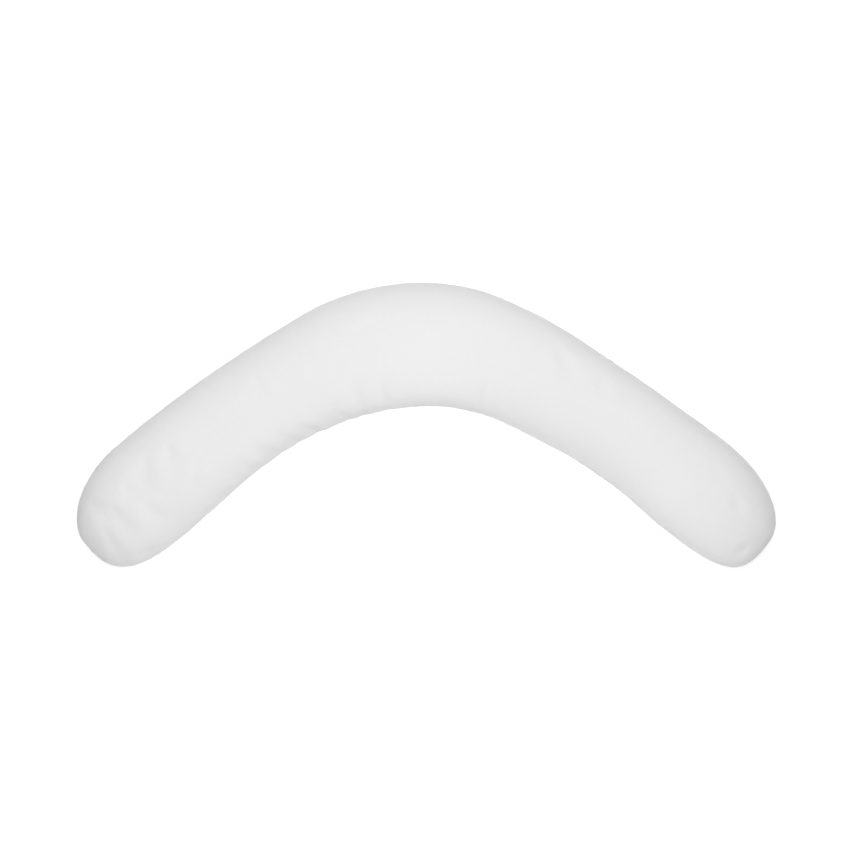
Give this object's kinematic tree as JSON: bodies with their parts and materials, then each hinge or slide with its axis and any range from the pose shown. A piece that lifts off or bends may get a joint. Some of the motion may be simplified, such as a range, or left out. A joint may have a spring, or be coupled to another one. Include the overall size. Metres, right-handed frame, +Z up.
{
  "type": "crescent body pillow",
  "caption": "Long crescent body pillow, stuffed full, with two rounded ends and one seam round its edge.",
  "frame": {"origin": "centre of the pillow's box at the floor it lies on", "axes": "+X along the span from arm end to arm end, +Y towards the outside of the bend, +Z up out of the face that shows"},
  "size_m": [1.5056, 0.613, 0.197],
  "materials": {
    "cover": "matte plain-woven cotton, white"
  },
  "bodies": {
    "root": {"pillow": "cover"}
  },
  "joints": []
}
